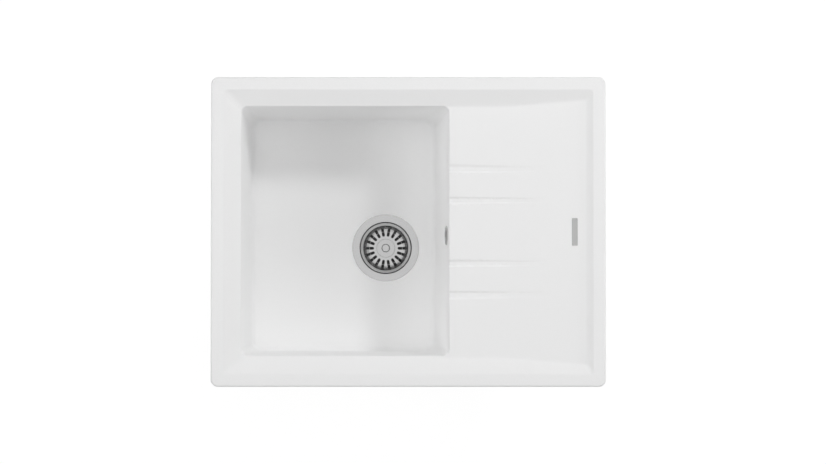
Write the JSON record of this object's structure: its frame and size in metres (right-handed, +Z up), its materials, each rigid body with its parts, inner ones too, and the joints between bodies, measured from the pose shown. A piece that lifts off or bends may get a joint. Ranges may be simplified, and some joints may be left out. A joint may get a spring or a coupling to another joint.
{
  "type": "kitchen sink with drainboard",
  "caption": "Inset composite kitchen sink with a bowl, a grooved drainboard, a basket waste, an overflow pipe and swinging fixing claws under the rim.",
  "frame": {"origin": "on the worktop plane, in the middle of the front rim seat (the flat underside of the front rim)", "axes": "+X to the right along the front edge (bowl left, drainboard right), +Y to the back, +Z up"},
  "size_m": [0.65, 0.51, 0.3116],
  "materials": {
    "composite": "matt moulded quartz composite",
    "satin_steel": "satin stainless steel",
    "plate_metal": "brushed plate, bare",
    "zinc_steel": "zinc plated pressed steel",
    "brass": "turned and knurled",
    "black_rubber": "moulded EPDM",
    "white_plastic": "moulded polypropylene",
    "hose_plastic": "corrugated polypropylene"
  },
  "bodies": {
    "sink": {"sink_body": "composite", "badge_plate": "plate_metal", "strainer_flange": "satin_steel", "cup_spider": "satin_steel", "flange_gasket": "black_rubber", "housing_gasket": "black_rubber", "waste_housing": "white_plastic", "housing_outlet": "white_plastic", "housing_inlet": "white_plastic", "housing_nut": "brass", "clamping_screw": "satin_steel", "overflow_cap": "satin_steel", "overflow_screw": "satin_steel", "overflow_gasket": "black_rubber", "overflow_head": "white_plastic", "hose_nut_top": "white_plastic", "hose_seal_top": "black_rubber", "hose_nut_bottom": "white_plastic", "hose_seal_bottom": "black_rubber", "overflow_hose": "hose_plastic", "clip_1_insert": "brass", "clip_1_screw": "zinc_steel", "clip_2_insert": "brass", "clip_2_screw": "zinc_steel", "clip_3_insert": "brass", "clip_3_screw": "zinc_steel", "clip_4_insert": "brass", "clip_4_screw": "zinc_steel", "clip_5_insert": "brass", "clip_5_screw": "zinc_steel", "clip_6_insert": "brass", "clip_6_screw": "zinc_steel"},
    "basket": {"strainer_basket": "satin_steel", "basket_knob": "satin_steel", "basket_stem": "satin_steel", "basket_seal": "black_rubber", "stem_clip": "satin_steel"},
    "claw_1": {"clip_1_claw": "zinc_steel"},
    "claw_2": {"clip_2_claw": "zinc_steel"},
    "claw_3": {"clip_3_claw": "zinc_steel"},
    "claw_4": {"clip_4_claw": "zinc_steel"},
    "claw_5": {"clip_5_claw": "zinc_steel"},
    "claw_6": {"clip_6_claw": "zinc_steel"}
  },
  "joints": [
    {"name": "basket_lift", "type": "slide", "parent": "sink", "child": "basket", "axis": [0, 0, 1], "range_m": [0, 0.26]},
    {"name": "claw_1_swing", "type": "hinge", "parent": "sink", "child": "claw_1", "pos_m": [-0.18, 0.019, -0.045], "axis": [0, 0, 1], "range_deg": [0, 90]},
    {"name": "claw_2_swing", "type": "hinge", "parent": "sink", "child": "claw_2", "pos_m": [0.18, 0.019, -0.045], "axis": [0, 0, 1], "range_deg": [0, 90]},
    {"name": "claw_3_swing", "type": "hinge", "parent": "sink", "child": "claw_3", "pos_m": [0.3, 0.249, -0.045], "axis": [0, 0, 1], "range_deg": [0, 90]},
    {"name": "claw_4_swing", "type": "hinge", "parent": "sink", "child": "claw_4", "pos_m": [0.18, 0.479, -0.045], "axis": [0, 0, 1], "range_deg": [0, 90]},
    {"name": "claw_5_swing", "type": "hinge", "parent": "sink", "child": "claw_5", "pos_m": [-0.18, 0.479, -0.045], "axis": [0, 0, 1], "range_deg": [0, 90]},
    {"name": "claw_6_swing", "type": "hinge", "parent": "sink", "child": "claw_6", "pos_m": [-0.3, 0.249, -0.045], "axis": [0, 0, 1], "range_deg": [0, 90]}
  ]
}
